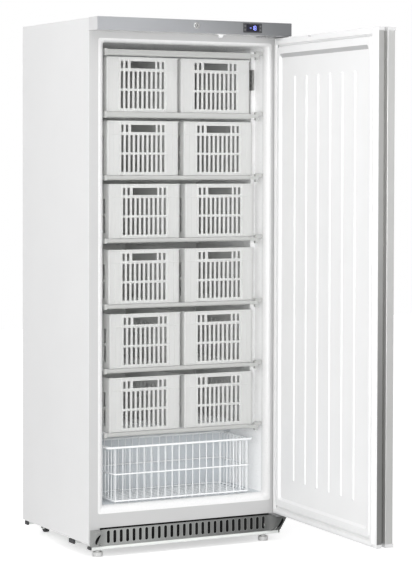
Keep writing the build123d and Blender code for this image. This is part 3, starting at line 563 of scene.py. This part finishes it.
# raised rims round the slots, in a lighter grey than the grille: painted highlight where they catch the light
bm = bmesh.new()
for k in range(26):
    x = -313.5 + 627.0 / 25 * k
    r0, r1 = 6.05, 7.3
    for (ra, rb) in ((r0, r1),):
        inner, outer = [], []
        for q in range(16):
            a_ = math.radians(360 * q / 16 + 11.25)
            cz_ = 90.5 if math.sin(a_) > 0 else 57.5
            inner.append((x + ra * math.cos(a_), cz_ + ra * math.sin(a_)))
            outer.append((x + rb * math.cos(a_), cz_ + rb * math.sin(a_)))
        yo, yi = GRILLE_Y - 0.5, GRILLE_Y + 0.2
        rings = [[bm.verts.new((px, yy, pz)) for px, pz in ring_] for ring_, yy in ((inner, yi), (inner, yo), (outer, yo + 0.3), (outer, yi))]
        for a2 in range(4):
            A, B = rings[a2], rings[(a2 + 1) % 4]
            for q in range(16):
                bm.faces.new((A[q], A[(q + 1) % 16], B[(q + 1) % 16], B[q]))
finished("grille_slot_rims", bm, "cabinet", "grille_rim_painted_highlight", 50)

# ------------------------------------------------------------------ plastic baskets
BW, BH, BD = 282.0, 193.0, 452.0
PITCH, SLOT0 = 17.9, 54.0


def basket_mesh():
    bm = bmesh.new()
    r, t = 7.0, 2.0
    f0 = 1.6                      # front wall's outer face; ribs and panel stand out from it
    slots = []
    for c in range(10):
        x = SLOT0 + PITCH * c
        slots += [(x, x + 9.7, 12.5, 73.5), (x, x + 9.7, 82.0, 142.5)]
        if c in (0, 1, 8, 9):
            slots.append((x, x + 9.7, 153.5, 179.0))
    slots.append((92.3, 190.3, 153.5, 179.0))
    plate(bm, (0, f0, 0), (1, 0, 0), (0, 0, 1), (r, BW - r), (0, BH), slots, (0, t, 0))
    # central panel proud of the wall, with the same slots
    plate(bm, (0, f0 - 0.6, 0), (1, 0, 0), (0, 0, 1), (46, 236), (2.0, BH - 1.0), slots, (0, 0.65, 0))
    back = []
    for c in range(7):
        x = 36 + 31.0 * c
        back += [(x, x + 18, 20, 78), (x, x + 18, 88, 140)]
    back.append((92, 190, 153.5, 179))
    plate(bm, (0, BD - t, 0), (1, 0, 0), (0, 0, 1), (r, BW - r), (0, BH), back, (0, t, 0))
    side = []
    for c in range(12):
        y = 34 + 33.0 * c
        side += [(y, y + 20, 20, 78), (y, y + 20, 88, 140)]
    for x in (0, BW - t):
        plate(bm, (x, 0, 0), (0, 1, 0), (0, 0, 1), (f0 + r, BD - r), (0, BH), side, (t, 0, 0))
    floor_slots = []
    for a in range(5):
        for c in range(9):
            floor_slots.append((24 + a * 48.5, 24 + a * 48.5 + 40, 24 + c * 46.0, 24 + c * 46.0 + 34))
    plate(bm, (0, 0, 0.0), (1, 0, 0), (0, 1, 0), (t, BW - t), (f0 + t, BD - t), floor_slots, (0, 0, t))
    for cx_, cy_, a0 in ((r, f0 + r, 180), (BW - r, f0 + r, 270), (BW - r, BD - r, 0), (r, BD - r, 90)):
        arc = [math.radians(a0 + 90 * k / 6) for k in range(7)]
        prof = [(cx_ + r * math.cos(a), cy_ + r * math.sin(a)) for a in arc]
        prof += [(cx_ + (r - t) * math.cos(a), cy_ + (r - t) * math.sin(a)) for a in reversed(arc)]
        column(bm, prof, 0, BH)
    # rim round the top
    plate(bm, (0, 0, BH - 4.5), (1, 0, 0), (0, 1, 0), (0.4, BW - 0.4), (0.2, BD), [(t + 1.2, BW - t - 1.2, f0 + t + 1.0, BD - t - 1.2)], (0, 0, 4.5))
    # ribs and ledges on the front
    for x in (46.0, 236.0):
        rounded_bar(bm, (x - 1.3, 0.0, 3), (x + 1.3, f0 + 0.2, BH - 2))
    for x in (24.0, BW - 24.0):
        rounded_bar(bm, (x - 1.0, 0.5, 5), (x + 1.0, f0 + 0.2, BH - 5))
    for x0, x1 in ((9, 46), (236, BW - 9)):
        rounded_bar(bm, (x0, 0.1, 145.5), (x1, f0 + 0.2, 148.5))
        rounded_bar(bm, (x0, 0.3, 2.0), (x1, f0 + 0.2, 5.0))
    for x in (86.0, 141.0, 196.0):
        rounded_bar(bm, (x - 1.0, 0.0, 180.5), (x + 1.0, f0, BH - 2))
    rounded_bar(bm, (47, 0.0, 146.4), (235, f0, 149.2), 0.5)
    rounded_bar(bm, (47, 0.1, 76.4), (235, f0, 79.0), 0.5)
    return bm


BX_LEFT = (-306.5, -304.3, -297.5, -299.0, -294.0, -295.5)
BX_RIGHT = (-12.75, -1.25, 5.75, 5.0, 2.5, 4.0)
for row in range(6):
    for side_name, x_left in (("left", BX_LEFT[row]), ("right", BX_RIGHT[row])):
        node = f"basket_{row + 1}_{side_name}"
        lo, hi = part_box(node)
        bm = basket_mesh()
        bmesh.ops.translate(bm, vec=(lo.x / MM, lo.y / MM, lo.z / MM), verts=bm.verts)
        finished(f"moulded_{node}", bm, node, "basket_plastic", replaces=(node,))

# ------------------------------------------------------------------ wire basket
lo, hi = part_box("wire_basket")
wx0, wx1, wy0, wy1, wz0, wz1 = [c / MM for c in (lo.x, hi.x, lo.y, hi.y, lo.z, hi.z)]
bx0, bx1 = -277.0, 272.0
R_TOP, R_MID, R_W = 4.0, 2.8, 1.55
bm = bmesh.new()
zt = wz1 - R_TOP
wire(bm, [(wx0 + R_TOP, wy0 + R_TOP, zt), (wx1 - R_TOP, wy0 + R_TOP, zt), (wx1 - R_TOP, wy1 - R_TOP, zt), (wx0 + R_TOP, wy1 - R_TOP, zt)],
     R_TOP, 11.0, 14, closed=True)
for z in (286.0, wz0 + 9.0):
    o = R_MID
    wire(bm, [(bx0 + o, wy0 + 2 * R_TOP - o, z), (bx1 - o, wy0 + 2 * R_TOP - o, z), (bx1 - o, wy1 - 2 * R_TOP + o, z), (bx0 + o, wy1 - 2 * R_TOP + o, z)],
         R_MID, 9.0, 12, closed=True)
yf, yb = wy0 + 2 * R_TOP + R_W, wy1 - 2 * R_TOP - R_W
for k in range(20):
    x = -268.5 + 28.0 * k
    z = wz0 + R_W
    wire(bm, [(x, yf, wz1 - 2.5), (x, yf, z), (x, yb, z), (x, yb, wz1 - 2.5)], R_W, 8.0, 8)
for k in range(9):
    y = wy0 + 20 + (wy1 - wy0 - 40) * k / 8
    z = wz0 + 3 * R_W
    xl, xr = bx0 + 2 * R_MID + R_W, bx1 - 2 * R_MID - R_W
    wire(bm, [(wx0 + R_TOP, y, zt - 1.0), (xl, y, zt - 1.0), (xl, y, z), (xr, y, z), (xr, y, zt - 1.0), (wx1 - R_TOP, y, zt - 1.0)], R_W, 7.0, 8)
finished("welded_wire_basket", bm, "wire_basket", "white_wire", 40, replaces=("wire_basket",))

# ------------------------------------------------------------------ lock and door details
lc_ob = NODES["lock_cylinder"]
lc_ob.data.materials.append(MAT["shadow_black"])
for poly in lc_ob.data.polygons:
    c = poly.center
    if -0.3318 < c.y < -0.3215 and abs(c.x) < 0.0012 and abs(c.z - 1.8755) < 0.0042:
        poly.material_index = 1


def on_door(bm):
    """Turns what was drawn on the closed door to where the door stands."""
    bmesh.ops.transform(bm, matrix=Matrix.Scale(1 / MM, 4) @ HINGED @ Matrix.Scale(MM, 4), verts=bm.verts)
    return bm


# painted shadow: thin dark strips up both sides of the door liner, by the gasket, stand for the shadow in the groove
# there
bm = bmesh.new()
Y_RIM = -267.0
for x0, x1, z0, z1 in ((354.9, 356.9, 131.0, 1819.0), (-356.7, -355.4, 131.0, 1819.0)):
    rounded_bar(bm, (x0, Y_RIM + 0.05, z0), (x1, Y_RIM + 1.1, z1), 0.25)
finished("gasket_groove_shadow", on_door(bm), "door", "groove_painted_shadow", 30)

# ------------------------------------------------------------------ display digits
SEG = {"-": "g", "1": "bc", "8": "abcdefg"}
digit_mat, nt, b_ = new_material("display_segments")
vec = object_coords(nt)
glow = spread(nt, noise(nt, vec, 900.0, 1.0), 0.75, 1.0)
mixc = two_tone(nt, glow, (0.10, 0.12, 0.55), (0.30, 0.34, 1.0))
nt.links.new(mixc, b_.inputs["Base Color"])
nt.links.new(mixc, b_.inputs["Emission Color"])
b_.inputs["Emission Strength"].default_value = 0.8
b_.inputs["Roughness"].default_value = 0.4
MAT["display_segments"] = digit_mat


def seven_segment(bm, ch, x, z, w, h, y0, y1, t):
    half = h / 2
    bars = {"a": (x, z + half, 1), "d": (x, z - half, 1), "g": (x, z, 1),
            "f": (x - w / 2, z + half / 2, 0), "b": (x + w / 2, z + half / 2, 0), "e": (x - w / 2, z - half / 2, 0), "c": (x + w / 2, z - half / 2, 0)}
    for k in SEG[ch]:
        px, pz, flat = bars[k]
        L = (w if flat else half) / 2 - t * 0.55
        if flat:
            outline = [(px - L - t / 2, pz), (px - L, pz + t / 2), (px + L, pz + t / 2), (px + L + t / 2, pz), (px + L, pz - t / 2), (px - L, pz - t / 2)]
        else:
            outline = [(px, pz - L - t / 2), (px + t / 2, pz - L), (px + t / 2, pz + L), (px, pz + L + t / 2), (px - t / 2, pz + L), (px - t / 2, pz - L)]
        A = [bm.verts.new((a_, y0, c_)) for a_, c_ in outline]
        B = [bm.verts.new((a_, y1, c_)) for a_, c_ in outline]
        bm.faces.new(A)
        bm.faces.new(B[::-1])
        for q in range(6):
            bm.faces.new((A[q], B[q], B[(q + 1) % 6], A[(q + 1) % 6]))


bm = bmesh.new()
for ch, dx in (("-", -8.5), ("1", 0.5), ("8", 10.0)):
    seven_segment(bm, ch, 225.0 + dx, 1874.2, 7.6, 14.5, -331.9, -331.6, 1.9)
finished("display_digits", bm, "cabinet", "display_segments", 20)
